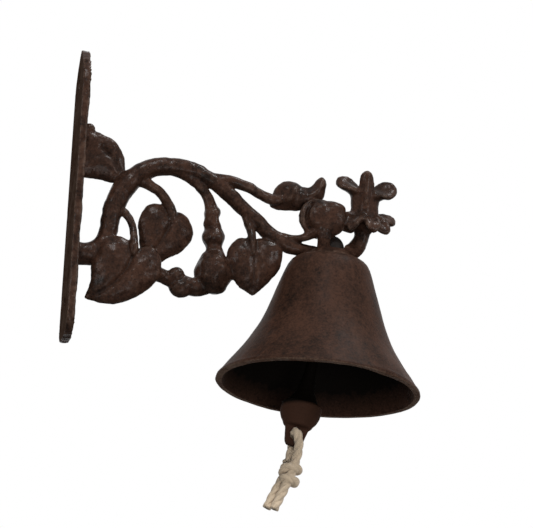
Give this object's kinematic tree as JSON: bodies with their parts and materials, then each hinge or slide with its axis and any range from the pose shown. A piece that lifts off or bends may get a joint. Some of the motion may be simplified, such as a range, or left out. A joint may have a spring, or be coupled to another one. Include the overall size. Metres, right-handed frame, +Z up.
{
  "type": "wall bell",
  "caption": "Cast iron wall bell: a vine bracket with leaves, pod and lily on a pointed wall plate, and a flared bell with its clapper and a rope pull",
  "frame": {"origin": "centre of the wall plate's back face, which lies against the wall", "axes": "+Z up along the wall, +X away from the wall towards the bell, +Y to the left of someone facing the wall"},
  "size_m": [0.1936, 0.11, 0.2453],
  "materials": {
    "cast_iron_brown": "dark rust brown, satin, sand-cast texture",
    "nut_dark": "dark grey, satin",
    "steel": "dull brown",
    "cotton_rope": "twisted undyed cotton"
  },
  "bodies": {
    "frame": {"bracket": "cast_iron_brown", "bell": "cast_iron_brown", "eye_bolt": "steel", "crown_washer": "steel", "dome_nut": "nut_dark"},
    "link": {"clapper_link": "steel"},
    "striker": {"clapper": "cast_iron_brown", "pull_rope": "cotton_rope", "rope_knot": "cotton_rope"}
  },
  "joints": [
    {"name": "link_swing", "type": "hinge", "parent": "frame", "child": "link", "pos_m": [0.14045, 0, -0.04169], "axis": [1, 0, 0], "range_deg": [-12, 12]},
    {"name": "clapper_swing", "type": "hinge", "parent": "link", "child": "striker", "pos_m": [0.14016, 0, -0.04993], "axis": [0, 1, 0], "range_deg": [-42, 27]}
  ]
}
